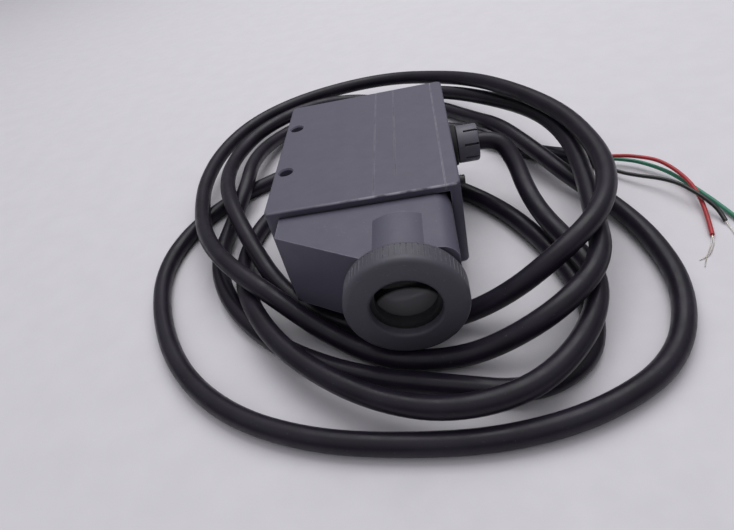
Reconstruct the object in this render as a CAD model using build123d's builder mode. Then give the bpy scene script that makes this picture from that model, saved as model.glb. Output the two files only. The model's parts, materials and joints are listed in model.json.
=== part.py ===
"""Contrast photoelectric sensor: flat plastic housing, focusing lens nose and its own coiled cable.

Frame, in millimetres: the origin is midway between the two mounting holes, at mid-thickness.
+Z leaves the upper broad face, the lens looks along -Y, the cable leaves the +X end.
"""

from build123d import *
import math
import os

os.makedirs("parts", exist_ok=True)

# ---- driving dimensions ------------------------------------------------------------------
BODY_W = 56.0            # housing width, X
BODY_L = 70.8            # housing length, Y
BODY_T = 28.0            # housing thickness, Z
LID_T = 4.0              # end cover thickness, X
SEAM = 0.06              # gap between shell and end cover
EDGE_R = 0.6             # round along the outer edges
WALL = 2.2               # broad walls and rear wall
SIDE_WALL = 4.0          # left wall, which carries the mounting holes
HOLE_R = 2.15            # mounting hole, clearance for M4
HOLE_PITCH = 30.0
HOLE_EDGE = 3.7          # hole centre from the left edge
HOLE_BACK = 37.4         # pattern centre from the front edge
NOSE_REACH = 23.6        # nose front, ahead of the housing's front edge
NOSE_STEP = 9.2          # depth of the nose's straight left end
NOSE_SLANT = 30.6        # degrees, the slanted face against the front
NOSE_HALF = 11.7         # half the nose's thickness
LENS_X = 34.3            # optical axis
BOSS_R = 13.45           # raised round boss round the lens barrel
BARREL_R = 11.4
BARREL_BORE = 9.9
RING_R = 16.0            # focus ring
RING_L = 7.0
RING_BORE = 9.2
LENS_R = 8.6
CELL_R = 9.83
RUN_GAP = 0.07           # radial running clearance
CABLE_R = 3.0
CORE_R = 0.65
GLAND_R = 6.4
GLAND_Y = 9.1
KNOB_Y = -13.9
KNOB_R = 1.65
FLOOR_Z = -22.6          # surface that the coil lies on

X0 = -HOLE_EDGE
X1 = X0 + BODY_W
Y0 = -HOLE_BACK
Y1 = Y0 + BODY_L
Z1 = BODY_T / 2
LID_X = X1 - LID_T
SHELL_X = LID_X - SEAM
NOSE_Y = Y0 - NOSE_REACH
RING_Y = NOSE_Y - 1.0
RING_FRONT = RING_Y - RING_L
CAVITY_Z = Z1 - WALL
BOARD_Z = -7.5
BOARD_T = 1.6
BOARD_TOP = BOARD_Z + BOARD_T
GLAND_END = X1 + 9.5
WASHER_T = 2.2
SCREW_YZ = [(-29.0, 9.7), (-29.0, -9.7), (29.0, 9.7), (29.0, -9.7)]
BOARD_POSTS = [(11.0, -25.0), (11.0, 24.0), (43.4, -6.4), (40.0, 24.0)]
PIPE_Y = (-21.5, -27.0)


def save(part, label):
    """Label a finished piece and write it to its own file."""
    part.label = label
    export_step(part, f"parts/{label}.step")
    print(f"{label:24s} {part.volume:10.1f} mm3")


def on_lens(y):
    """Sketch plane across the optical axis at y, with its normal along -Y."""
    return Plane((LENS_X, y, 0), x_dir=(1, 0, 0), z_dir=(0, -1, 0))


def on_end(x, y, z):
    """Sketch plane across +X at a point of the end face."""
    return Plane((x, y, z), x_dir=(0, 1, 0), z_dir=(1, 0, 0))


# ---- housing shell -----------------------------------------------------------------------
with BuildPart() as housing_shell:
    with BuildSketch(Plane.XY.offset(-Z1)):
        with Locations(((X0 + SHELL_X) / 2, (Y0 + Y1) / 2)):
            Rectangle(SHELL_X - X0, BODY_L)
    extrude(amount=BODY_T)
    fillet(housing_shell.edges().filter_by(Axis.Z).group_by(Axis.X)[0], 1.6)
    for face in (housing_shell.faces().sort_by(Axis.Z)[-1], housing_shell.faces().sort_by(Axis.Z)[0]):
        fillet(face.edges().sort_by(Axis.X)[:-1], EDGE_R)
    # inside: open to the front for the nose and to +X for the end cover
    with BuildSketch(Plane.XY.offset(-CAVITY_Z)):
        with Locations(((X0 + SIDE_WALL + SHELL_X + 1) / 2, (Y0 - 1 + Y1 - WALL) / 2)):
            Rectangle(SHELL_X + 1 - X0 - SIDE_WALL, BODY_L + 1 - WALL)
    extrude(amount=2 * CAVITY_Z, mode=Mode.SUBTRACT)
    # columns round the mounting holes
    with BuildSketch(Plane.XY.offset(-Z1 + 1)):
        with Locations((0.5, HOLE_PITCH / 2), (0.5, -HOLE_PITCH / 2)):
            Circle(4.1)
    extrude(amount=BODY_T - 2)
    # posts under the circuit board
    with BuildSketch(Plane.XY.offset(-CAVITY_Z)):
        with Locations(*BOARD_POSTS):
            Circle(2.6)
    extrude(amount=BOARD_Z + CAVITY_Z)
    # screw bosses for the end cover
    for y, z in SCREW_YZ:
        with BuildSketch(on_end(SHELL_X - 9, y, z)):
            Circle(2.1)
        extrude(amount=9)
        with BuildSketch(on_end(SHELL_X - 9, y, math.copysign(CAVITY_Z - 0.9, z))):
            Rectangle(4.2, 2.0)
        extrude(amount=9)
    for y, z in SCREW_YZ:
        with BuildSketch(on_end(SHELL_X - 7, y, z)):
            Circle(1.0)
        extrude(amount=8, mode=Mode.SUBTRACT)
    with BuildSketch(Plane.XY.offset(BOARD_Z - 3.6)):
        with Locations(*BOARD_POSTS):
            Circle(0.85)
    extrude(amount=4, mode=Mode.SUBTRACT)
    # mounting holes, lightly countersunk on both faces
    with Locations(Location((0, 0, Z1)), Location((0, 0, -Z1), (180, 0, 0))):
        with GridLocations(1, HOLE_PITCH, 1, 2):
            CounterSinkHole(HOLE_R, HOLE_R + 0.45, depth=BODY_T)
    # two shallow witness lines on each broad face
    for sign in (1, -1):
        with Locations((28.3, (Y0 + Y1) / 2, sign * Z1)):
            Box(0.25, BODY_L, 0.16, mode=Mode.SUBTRACT)
        with Locations((34.7, (Y1 - 27.9) / 2, sign * Z1)):
            Box(0.25, Y1 + 27.9, 0.16, mode=Mode.SUBTRACT)
save(housing_shell.part, "housing_shell")

# ---- end cover, its gasket, panel and screws -------------------------------------------------
with BuildPart() as end_cover:
    with BuildSketch(Plane.XY.offset(-Z1)):
        with Locations(((LID_X + X1) / 2, (Y0 + Y1) / 2)):
            Rectangle(LID_T, BODY_L)
    extrude(amount=BODY_T)
    fillet(end_cover.edges().filter_by(Axis.Z).group_by(Axis.X)[-1], 2.0)
    for face in (end_cover.faces().sort_by(Axis.Z)[-1], end_cover.faces().sort_by(Axis.Z)[0]):
        fillet(face.edges().sort_by(Axis.X)[1:], EDGE_R)
    # recess beside the nose
    with BuildSketch(Plane.XY.offset(-CAVITY_Z)):
        with Locations((LID_X + 0.5, Y0 + 2)):
            Rectangle(1.0, 6.4)
    extrude(amount=2 * CAVITY_Z, mode=Mode.SUBTRACT)
    # recess for the control panel
    with BuildSketch(on_end(X1 - 1.0, -1.5, 0)):
        RectangleRounded(56.0, 14.0, 2.0)
    extrude(amount=2, mode=Mode.SUBTRACT)
    with BuildSketch(on_end(LID_X - 1, GLAND_Y, 0)):
        Circle(5.1)
    extrude(amount=6, mode=Mode.SUBTRACT)
    with BuildSketch(on_end(LID_X - 1, KNOB_Y, 0)):
        Circle(KNOB_R + RUN_GAP)
    extrude(amount=6, mode=Mode.SUBTRACT)
    for y in PIPE_Y:
        with BuildSketch(on_end(LID_X - 1, y, 0)):
            Circle(1.55)
        extrude(amount=6, mode=Mode.SUBTRACT)
    for y, z in SCREW_YZ:
        with Locations(Location((X1, y, z), (0, 90, 0))):
            CounterSinkHole(1.35, 2.45, depth=LID_T + 1)
save(end_cover.part, "end_cover")

with BuildPart() as cover_gasket:
    with BuildSketch(on_end(SHELL_X + 0.01, 0, 0)):
        with Locations(
            (0.5 * (Y1 - 1.2 - 31.0), CAVITY_Z + 0.9),
            (0.5 * (Y1 - 1.2 - 31.0), -CAVITY_Z - 0.9),
        ):
            Rectangle(Y1 - 1.2 + 31.0, 0.8)
        with Locations((Y1 - 1.2, 0)):
            Rectangle(0.8, 2 * CAVITY_Z + 2.6)
    extrude(amount=SEAM - 0.02)
save(cover_gasket.part, "cover_gasket")

with BuildPart() as control_panel:
    with BuildSketch(on_end(X1 - 1.0, -1.5, 0)):
        RectangleRounded(55.8, 13.8, 1.9)
    extrude(amount=1.0)
    with BuildSketch(on_end(X1 - 2, GLAND_Y, 0)):
        Circle(5.1)
    extrude(amount=3, mode=Mode.SUBTRACT)
    with BuildSketch(on_end(X1 - 2, KNOB_Y, 0)):
        Circle(KNOB_R + RUN_GAP)
    extrude(amount=3, mode=Mode.SUBTRACT)
    for y in PIPE_Y:
        with BuildSketch(on_end(X1 - 2, y, 0)):
            Circle(1.55)
        extrude(amount=3, mode=Mode.SUBTRACT)
save(control_panel.part, "control_panel")

with BuildPart() as cover_screws:
    for y, z in SCREW_YZ:
        with BuildSketch(Plane((X1, y, z), x_dir=(0, 1, 0), z_dir=(0, 0, 1))):
            with BuildLine():
                Polyline(
                    (0, 0.1), (2.3, 0.1), (1.3, 1.2), (1.3, 3.95), (0.98, 3.95), (0.98, 10.0), (0, 10.5),
                    close=True,
                )
            make_face()
        revolve(axis=Axis((X1, y, z), (1, 0, 0)))
    for y, z in SCREW_YZ:
        with Locations((X1, y, z)):
            Box(1.2, 0.5, 2.4, mode=Mode.SUBTRACT)
            Box(1.2, 2.4, 0.5, mode=Mode.SUBTRACT)
save(cover_screws.part, "cover_screws")

# ---- nose block with its round boss ------------------------------------------------------------
nose_left = X0 + SIDE_WALL + 0.1
nose_right = LID_X + 0.9
step_y = Y0 - NOSE_STEP
slant_run = (step_y - NOSE_Y) / math.tan(math.radians(NOSE_SLANT))
with BuildPart() as nose_block:
    with BuildSketch(Plane.XY.offset(-NOSE_HALF)):
        with BuildLine():
            Polyline(
                (nose_left, Y0 + 4.5), (nose_left, step_y), (nose_left + slant_run, NOSE_Y),
                (nose_right, NOSE_Y), (nose_right, Y0 + 4.5), close=True,
            )
        make_face()
    extrude(amount=2 * NOSE_HALF)
    # rounded outer edges along the right side and soft corners elsewhere
    fillet(nose_block.edges().filter_by(Axis.Y).group_by(Axis.X)[-1], 4.6)
    fillet(nose_block.edges().filter_by(Axis.Z).group_by(Axis.Y)[1], 0.8)
    with BuildSketch(on_lens(-45.5)):
        Circle(BOSS_R)
    extrude(amount=-45.5 - NOSE_Y)
    # hollow behind, open to the housing
    with BuildSketch(Plane.XY.offset(-NOSE_HALF + WALL)):
        with BuildLine():
            Polyline(
                (nose_left + WALL, Y0 + 5.5), (nose_left + WALL, step_y + 1.2),
                (LENS_X - BOSS_R, -51.0), (LENS_X - BOSS_R, -45.5), (LENS_X + 12.0, -45.5),
                (LENS_X + 12.0, Y0 + 5.5), close=True,
            )
        make_face()
    extrude(amount=2 * (NOSE_HALF - WALL), mode=Mode.SUBTRACT)
    with BuildSketch(on_lens(-40.0)):
        Circle(BARREL_R + 0.03)
    extrude(amount=30, mode=Mode.SUBTRACT)
save(nose_block.part, "nose_block")

# ---- lens barrel and its seal --------------------------------------------------------------------
with BuildPart() as lens_barrel:
    with BuildSketch(on_lens(-46.0)):
        Circle(BARREL_R)
        Circle(BARREL_BORE, mode=Mode.SUBTRACT)
    extrude(amount=66.3 - 46.0)
    # guide slots for the two drive pins
    with Locations((LENS_X, -64.15, 0)):
        Box(26.0, 5.0, 2.1, mode=Mode.SUBTRACT)
    # groove for the seal
    with BuildSketch(on_lens(-54.0)):
        Circle(BARREL_R + 1)
        Circle(BARREL_R - 0.7, mode=Mode.SUBTRACT)
    extrude(amount=1.6, mode=Mode.SUBTRACT)
save(lens_barrel.part, "lens_barrel")

with BuildPart() as barrel_seal:
    with BuildSketch(Plane((LENS_X, -54.8, 0))):
        with Locations((BARREL_R - 0.33, 0)):
            Circle(0.34)
    revolve(axis=Axis((LENS_X, -54.8, 0), (0, 1, 0)))
save(barrel_seal.part, "barrel_seal")

# ---- focus ring ---------------------------------------------------------------------------------------
RIBS = 72
with BuildPart() as focus_ring:
    with BuildSketch(on_lens(RING_Y)):
        Circle(RING_R)
    extrude(amount=RING_L)
    fillet(focus_ring.edges().group_by(Axis.Y)[0], 1.6)
    with BuildSketch(on_lens(RING_Y)):
        Circle(BARREL_R + RUN_GAP)
    extrude(amount=RING_L - 2.4, mode=Mode.SUBTRACT)
    # groove in which the drive pins run
    with BuildSketch(on_lens(-62.4)):
        Circle(12.9)
    extrude(amount=3.6, mode=Mode.SUBTRACT)
    with BuildSketch(on_lens(RING_Y)):
        Circle(RING_BORE)
    extrude(amount=RING_L + 1, mode=Mode.SUBTRACT)
    # grip ribs
    with BuildSketch(on_lens(RING_Y - 0.6)):
        with PolarLocations(RING_R + 0.2, RIBS):
            Circle(0.34)
    extrude(amount=4.4, mode=Mode.SUBTRACT)
save(focus_ring.part, "focus_ring")

# ---- lens cell: holder, lens, retaining ring and drive pins ----------------------------------------------
CELL_FRONT = -65.6
PIN_Y = -64.2
with BuildPart() as lens_cell:
    with BuildSketch(on_lens(-55.5)):
        Circle(CELL_R)
        Circle(7.6, mode=Mode.SUBTRACT)
    extrude(amount=-55.5 - CELL_FRONT)
    with BuildSketch(on_lens(-60.4)):
        Circle(LENS_R + 0.05)
    extrude(amount=6, mode=Mode.SUBTRACT)
    for side in (-1, 1):
        with BuildSketch(Plane((LENS_X + side * 8.8, PIN_Y, 0), x_dir=(0, 1, 0), z_dir=(side, 0, 0))):
            Circle(1.0)
        extrude(amount=2, mode=Mode.SUBTRACT)
save(lens_cell.part, "lens_cell")

LENS_BACK = -60.45
LENS_APEX = -63.85
DOME_R = 30.0
with BuildPart() as objective_lens:
    with BuildSketch(on_lens(LENS_BACK)):
        Circle(LENS_R)
    extrude(amount=LENS_BACK - LENS_APEX)
    with Locations((LENS_X, LENS_APEX + DOME_R, 0)):
        Sphere(DOME_R, mode=Mode.INTERSECT)
save(objective_lens.part, "objective_lens")

with BuildPart() as lens_retainer:
    with BuildSketch(on_lens(-62.8)):
        Circle(LENS_R)
        Circle(8.2, mode=Mode.SUBTRACT)
    extrude(amount=-62.8 - CELL_FRONT - 0.1)
save(lens_retainer.part, "lens_retainer")

with BuildPart() as drive_pins:
    for side in (-1, 1):
        with BuildSketch(Plane((LENS_X + side * 8.85, PIN_Y, 0), x_dir=(0, 1, 0), z_dir=(side, 0, 0))):
            Circle(0.97)
        extrude(amount=12.7 - 8.85)
save(drive_pins.part, "drive_pins")

# ---- optics behind the lens ----------------------------------------------------------------------------
CARRIER_Y0 = -43.0
CARRIER_Y1 = -12.0
SIDE_Y = -27.0
with BuildPart() as optics_carrier:
    with Locations((LENS_X - 1.3, (CARRIER_Y0 + CARRIER_Y1) / 2, 0.7)):
        Box(14.6, CARRIER_Y1 - CARRIER_Y0, 13.0)
    with BuildSketch(on_lens(CARRIER_Y1 - 2.0)):
        Circle(4.8)
    extrude(amount=40, mode=Mode.SUBTRACT)
    with BuildSketch(on_lens(CARRIER_Y1 + 1)):
        Circle(3.2)
    extrude(amount=6, mode=Mode.SUBTRACT)
    with BuildSketch(Plane((LENS_X, SIDE_Y, 0), x_dir=(0, 1, 0), z_dir=(-1, 0, 0))):
        Circle(3.1)
    extrude(amount=12, mode=Mode.SUBTRACT)
save(optics_carrier.part, "optics_carrier")

with BuildPart() as beam_splitter:
    with Locations(Location((LENS_X, SIDE_Y, 0), (0, 0, 45))):
        Box(7.2, 0.8, 5.0)
save(beam_splitter.part, "beam_splitter")

with BuildPart() as emitter_led:
    with BuildSketch(Plane((21.6, SIDE_Y, 0), x_dir=(0, 1, 0), z_dir=(1, 0, 0))):
        Circle(2.5)
    extrude(amount=4.2)
    fillet(emitter_led.edges().group_by(Axis.X)[-1], 2.2)
    with BuildSketch(Plane((20.6, SIDE_Y, 0), x_dir=(0, 1, 0), z_dir=(1, 0, 0))):
        Circle(2.9)
    extrude(amount=1.0)
save(emitter_led.part, "emitter_led")

with BuildPart() as condenser_lens:
    with BuildSketch(Plane((26.6, SIDE_Y, 0), x_dir=(0, 1, 0), z_dir=(1, 0, 0))):
        Circle(3.05)
    extrude(amount=1.8)
    fillet(condenser_lens.edges().group_by(Axis.X)[-1], 1.2)
save(condenser_lens.part, "condenser_lens")

with BuildPart() as aperture_plate:
    with BuildSketch(on_lens(-14.1)):
        Circle(4.75)
        Circle(0.8, mode=Mode.SUBTRACT)
    extrude(amount=0.6)
save(aperture_plate.part, "aperture_plate")

with BuildPart() as photodiode:
    with BuildSketch(on_lens(-9.2)):
        Circle(2.75)
    extrude(amount=4.4)
    with BuildSketch(on_lens(-10.2)):
        Circle(3.1)
    extrude(amount=0.8)
save(photodiode.part, "photodiode")

# ---- circuit board and what stands on it ------------------------------------------------------------------
with BuildPart() as main_board:
    with BuildSketch(Plane.XY.offset(BOARD_Z)):
        with Locations((26.7, -1.0)):
            Rectangle(39.0, 58.0)
        with Locations((45.0, GLAND_Y)):
            Rectangle(5.6, 19.0, mode=Mode.SUBTRACT)
        with Locations(*BOARD_POSTS):
            Circle(1.1, mode=Mode.SUBTRACT)
    extrude(amount=BOARD_T)
save(main_board.part, "main_board")

with BuildPart() as board_screws:
    with BuildSketch(Plane.XY.offset(BOARD_TOP)):
        with Locations(*BOARD_POSTS):
            Circle(1.9)
    extrude(amount=1.2)
    with BuildSketch(Plane.XY.offset(BOARD_Z - 3.4)):
        with Locations(*BOARD_POSTS):
            Circle(0.83)
    extrude(amount=3.4 + BOARD_T)
    with BuildSketch(Plane.XY.offset(BOARD_TOP + 0.6)):
        with Locations(*BOARD_POSTS):
            Rectangle(2.6, 0.5)
    extrude(amount=1, mode=Mode.SUBTRACT)
save(board_screws.part, "board_screws")

with BuildPart() as board_chips:
    for cx, cy, wide, deep, high in (
        (15.0, -8.0, 7.0, 7.0, 1.2),
        (15.0, 8.0, 5.0, 6.2, 1.5),
        (24.0, 3.0, 4.0, 5.0, 1.4),
        (36.0, -5.5, 3.0, 3.0, 1.0),
    ):
        with Locations((cx, cy, BOARD_TOP + high / 2)):
            Box(wide, deep, high)
save(board_chips.part, "board_chips")

with BuildPart() as capacitors:
    with BuildSketch(Plane.XY.offset(BOARD_TOP)):
        with Locations((14.8, 17.5), (21.4, 18.5)):
            Circle(2.5)
    extrude(amount=7.5)
    fillet(capacitors.edges().group_by(Axis.Z)[-1], 0.5)
save(capacitors.part, "capacitors")

with BuildPart() as potentiometer:
    with Locations((44.7, KNOB_Y, -1.2)):
        Box(5.8, 7.0, 9.4)
    with BuildSketch(on_end(44.0, KNOB_Y, 0)):
        Circle(KNOB_R + RUN_GAP)
    extrude(amount=6, mode=Mode.SUBTRACT)
save(potentiometer.part, "potentiometer")

with BuildPart() as sensitivity_shaft:
    with BuildSketch(on_end(44.2, KNOB_Y, 0)):
        Circle(KNOB_R)
    extrude(amount=X1 + 2.5 - 44.2)
    chamfer(sensitivity_shaft.edges().group_by(Axis.X)[-1], 0.25)
    with Locations((X1 + 2.5, KNOB_Y, 0)):
        Box(1.8, 0.7, 4.0, mode=Mode.SUBTRACT)
save(sensitivity_shaft.part, "sensitivity_shaft")

with BuildPart() as indicator_leds:
    for y in PIPE_Y:
        with Locations((44.6, y, (BOARD_TOP + 1.6) / 2)):
            Box(2.6, 3.0, 1.6 - BOARD_TOP)
save(indicator_leds.part, "indicator_leds")

for y, colour in zip(PIPE_Y, ("green", "red")):
    with BuildPart() as light_pipe:
        with BuildSketch(on_end(46.1, y, 0)):
            Circle(1.5)
        extrude(amount=X1 - 46.1)
        fillet(light_pipe.edges().group_by(Axis.X)[-1], 0.3)
    save(light_pipe.part, f"light_pipe_{colour}")

TERMINAL_X = 30.5
TERMINAL_PITCH = 3.3
with BuildPart() as wire_terminal:
    with Locations((TERMINAL_X, 22.5, BOARD_TOP + 4.0)):
        Box(10.5, 7.0, 8.0)
    for k in (-1, 0, 1):
        port_x = TERMINAL_X + TERMINAL_PITCH * k
        with BuildSketch(Plane((port_x, 19.0, 0), x_dir=(1, 0, 0), z_dir=(0, 1, 0))):
            Circle(0.75)
        extrude(amount=3.0, mode=Mode.SUBTRACT)
        with BuildSketch(Plane((port_x, 23.8, BOARD_TOP + 8.0))):
            Circle(1.2)
        extrude(amount=-1.0, mode=Mode.SUBTRACT)
save(wire_terminal.part, "wire_terminal")

# ---- cable gland ----------------------------------------------------------------------------
with BuildPart() as gland_washer:
    with BuildSketch(on_end(X1, GLAND_Y, 0)):
        Circle(7.0)
        Circle(5.05, mode=Mode.SUBTRACT)
    extrude(amount=WASHER_T)
    fillet(gland_washer.edges().group_by(Axis.X)[-1].sort_by(SortBy.LENGTH)[-1], 0.7)
save(gland_washer.part, "gland_washer")

COLLAR_X = X1 + WASHER_T
with BuildPart() as gland_body:
    with BuildSketch(on_end(43.6, GLAND_Y, 0)):
        Circle(4.95)
    extrude(amount=COLLAR_X - 43.6)
    with BuildSketch(on_end(COLLAR_X, GLAND_Y, 0)):
        Circle(GLAND_R)
    extrude(amount=GLAND_END - COLLAR_X)
    chamfer(gland_body.edges().group_by(Axis.X)[-1], 0.6)
    # finger slots of the clamping end
    with BuildSketch(on_end(COLLAR_X + 2.4, GLAND_Y, 0)):
        with PolarLocations(GLAND_R, 8, start_angle=22.5):
            Rectangle(2.2, 0.9)
    extrude(amount=8, mode=Mode.SUBTRACT)
    with BuildSketch(on_end(43, GLAND_Y, 0)):
        Circle(CABLE_R + 0.06)
    extrude(amount=20, mode=Mode.SUBTRACT)
    with BuildSketch(on_end(48.0, GLAND_Y, 0)):
        Circle(4.05)
    extrude(amount=5.0, mode=Mode.SUBTRACT)
save(gland_body.part, "gland_body")

with BuildPart() as gland_seal:
    with BuildSketch(on_end(48.05, GLAND_Y, 0)):
        Circle(4.0)
        Circle(CABLE_R + 0.03, mode=Mode.SUBTRACT)
    extrude(amount=4.9)
save(gland_seal.part, "gland_seal")

with BuildPart() as gland_nut:
    with BuildSketch(on_end(SHELL_X - 3.0, GLAND_Y, 0)):
        RegularPolygon(7.6, 6)
        Circle(5.0, mode=Mode.SUBTRACT)
    extrude(amount=3.0)
save(gland_nut.part, "gland_nut")

# ---- cable inside the housing ---------------------------------------------------------------
STUB_END = 41.0
with BuildPart() as cable_tail:
    with BuildSketch(on_end(STUB_END, GLAND_Y, 0)):
        Circle(CABLE_R)
    extrude(amount=GLAND_END - STUB_END)
save(cable_tail.part, "cable_tail")

with BuildPart() as inner_leads:
    for k in (-1, 0, 1):
        side_y = GLAND_Y + 1.6 * k
        port_x = TERMINAL_X + TERMINAL_PITCH * k
        with BuildLine():
            lead = FilletPolyline((STUB_END, side_y, 0), (port_x, side_y, 0), (port_x, 21.0, 0), radius=2.4)
        with BuildSketch(Plane(lead @ 0, z_dir=lead % 0)):
            Circle(CORE_R)
        sweep()
save(inner_leads.part, "inner_leads")

# ---- free cable: one jacket in five lengths, laid in loose turns ----------------------------
LOW = FLOOR_Z + CABLE_R
CABLE_ROUTE = [
    # out of the gland, down and over the return strand
    (GLAND_END, GLAND_Y, 0), (68.7, GLAND_Y, 0), (73, 2.2, -6), (74.4, -8, -11), (77, -21, -13.2),
    (81.4, -36, -13.2),
    # right side, on top of the lower strand
    (85.5, -52, -13.2), (79, -70, -13.2), (63.5, -86, -13.2), (43, -90.5, -13.2),
    (24, -85, -13.2), (6, -72.5, -13.2),
    # front left, down to the surface
    (-7, -58.5, -13.2), (-17, -41.5, -14), (-24, -23, -18.5), (-26, -4, LOW),
    # under the housing
    (-20, 16, LOW), (-5, 31, LOW), (17, 35, LOW), (38, 27, LOW), (54, 11.5, LOW),
    # lower right strand and back to the left
    (66.5, -5, LOW), (75, -23, LOW), (80.5, -42, LOW), (82.5, -61, LOW), (76.5, -76, LOW), (61, -83, LOW),
    (42, -78, LOW), (20, -72.5, LOW), (0, -62, LOW), (-16, -48.5, LOW), (-29, -31, LOW), (-37, -10, LOW),
    # up over the crossing strand and down again
    (-36, 12, LOW), (-31.5, 31, -13.4), (-32.5, 51, -13.2), (-28, 76, -17), (-13, 95, LOW), (9, 104, LOW),
    # far side, then the second strand on the right
    (33, 101.5, -16.8), (56, 86, -13.2), (77, 61, -10.8), (88.5, 37, -7.6), (93.5, 13, -6.8),
    (92, -12, -6.8),
    (89, -34, -6.8), (86, -53, -6.6), (72, -67, -8.5), (53, -70, -17.5), (38, -69.5, LOW),
    # under the focus ring and up the outer left
    (24, -66, LOW), (9, -57, -17), (-8, -44.5, -10), (-25, -29, -7.6), (-38, -9, -10), (-46.5, 13, -12.6),
    (-52, 38, -13.2), (-50.5, 66, -13.2), (-40, 91, -13.2), (-20, 107.5, -13.2), (6, 115, -13.2),
    (31, 114, -13),
    # top strand on the right, above the others
    (52, 99, -10.6), (68.5, 75, -5.4), (81.5, 47.5, -1.6), (92.5, 22, -0.6), (96.5, -2, -0.2),
    (96, -22, -0.2),
    (89, -40, -0.2), (76, -51.5, -3), (60, -55.5, -13), (43, -55.5, LOW),
    # under the nose and up the inner left
    (22, -56, LOW), (3, -45, LOW), (-10, -31.5, -17.5), (-21, -13, -13.4), (-31.5, 8, -9),
    (-40, 32, -10.6),
    (-42, 58, -13.2), (-34, 81, -13.2), (-15, 97, -13.2), (8, 99, -13.4), (31, 94.5, -18), (51.5, 85, LOW),
    # over the free end's strand, then the wide outer loop on the surface
    (65, 65, -18.5), (73.5, 44, -13.2), (82, 22, -13.2), (92, 3, -17.2), (101.5, -12, LOW),
    (107, -33, LOW),
    (107, -56, LOW), (97, -78, LOW), (77, -90, LOW), (54, -95, LOW), (30, -94, LOW),
    (6, -90, LOW), (-17, -80, LOW),
    (-36, -63, LOW), (-50, -39, LOW), (-58, -12, LOW), (-54, 12, LOW), (-41, 31, LOW), (-22, 43, LOW),
    # under the housing once more to the stripped end
    (0, 54.5, LOW), (22, 63, LOW), (42, 67, LOW), (59, 58, LOW), (71, 42, LOW), (84, 29, LOW),
    (95, 22, LOW), (104, 16, LOW),
]
WIRE_ROUTES = {
    "red": [
        (104, 16, -18.3), (112, 13.1, -17.7), (116.5, 9.9, -17.3), (121.2, 6.7, -17.5),
        (124.1, 2.7, -18.2), (126.2, -2.2, -19), (127.2, -8.9, -19.4), (127, -16.2, -20.2),
        (125.7, -24.3, -21.1), (123.8, -32.1, -21.6),
    ],
    "green": [
        (104.62, 16.94, -20.25), (109.5, 16.2, -20.3), (113.8, 13.8, -20.3), (117.2, 11.2, -20.2),
        (121.1, 6.7, -20.3), (124.6, 1.9, -20.7), (127.2, -4.3, -21.1), (129.5, -11.6, -21.2),
        (131.1, -17.2, -21.3), (133, -24.4, -21.6), (134.1, -31, -21.6),
    ],
    "black": [
        (103.38, 15.06, -20.25), (108.4, 7.4, -20.3), (113.9, 1.6, -19.6), (119.1, -3.3, -18.6),
        (122.8, -8.8, -17.9), (124.5, -13.1, -17.7), (126.5, -16.7, -18.3), (128.8, -20.9, -19.6),
        (129.7, -23.6, -20.8), (129.9, -26.5, -21.6),
    ],
}
BARE_ENDS = {"red": (118.5, -40.8, -22.2), "green": (134.6, -37.5, -22.2), "black": (130.0, -30.4, -22.2)}
TURN_NODES = 5


def arc_radii(points):
    """Largest arc radius at each corner that leaves a tenth of the shorter run straight."""
    radii = []
    for before, here, after in zip(points, points[1:], points[2:]):
        run_in = Vector(*here) - Vector(*before)
        run_out = Vector(*after) - Vector(*here)
        half_turn = math.radians(run_in.get_angle(run_out)) / 2
        radii.append(0.45 * min(run_in.length, run_out.length) / math.tan(half_turn))
    return radii


def lay_tube(points, radii, section_r):
    """Round tube along straight runs joined by tangent arcs."""
    with BuildPart() as tube:
        with BuildLine():
            path = FilletPolyline(*points, radius=radii)
        with BuildSketch(Plane(path @ 0, z_dir=path % 0)):
            Circle(section_r)
        sweep()
    expected = math.pi * section_r**2 * path.length
    ratio = tube.part.volume / expected
    print(f"tube {path.length:7.1f} mm, smallest radius {min(radii):5.1f}, volume ratio {ratio:.4f}")
    return tube.part


def midpoint(a, b):
    """Point half-way along a run, where one length of the jacket ends and the next begins."""
    return tuple((p + q) / 2 for p, q in zip(a, b))


all_radii = arc_radii(CABLE_ROUTE)
last_run = len(CABLE_ROUTE) - 1
for turn in range(TURN_NODES):
    first = turn * last_run // TURN_NODES
    last = (turn + 1) * last_run // TURN_NODES
    corners = CABLE_ROUTE[first + 1:last + 1]
    start = CABLE_ROUTE[0]
    if turn > 0:
        start = midpoint(CABLE_ROUTE[first], CABLE_ROUTE[first + 1])
    end = CABLE_ROUTE[-1]
    if turn < TURN_NODES - 1:
        end = midpoint(CABLE_ROUTE[last], CABLE_ROUTE[last + 1])
    else:
        corners = corners[:-1]
    section = lay_tube([start, *corners, end], all_radii[first:first + len(corners)], CABLE_R)
    save(section, f"cable_turn_{turn + 1}")

for colour, route in WIRE_ROUTES.items():
    save(lay_tube(route, arc_radii(route), CORE_R), f"wire_{colour}")

with BuildPart() as tinned_ends:
    for colour, tip in BARE_ENDS.items():
        with BuildLine():
            strand = Line(WIRE_ROUTES[colour][-1], tip)
        with BuildSketch(Plane(strand @ 0, z_dir=strand % 0)):
            Circle(0.3)
        sweep(path=strand)
save(tinned_ends.part, "tinned_ends")
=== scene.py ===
"""Contrast photoelectric sensor with its coiled cable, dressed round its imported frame.

Every piece is in metres, in the row frame: the origin is midway between the two mounting holes,
+Z leaves the upper broad face, the lens looks along -Y and the cable leaves the +X end.
"""

import json
import logging
import math
from collections.abc import Callable, Sequence
from dataclasses import dataclass
from enum import Enum

import bpy
from mathutils import Matrix, Vector


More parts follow.
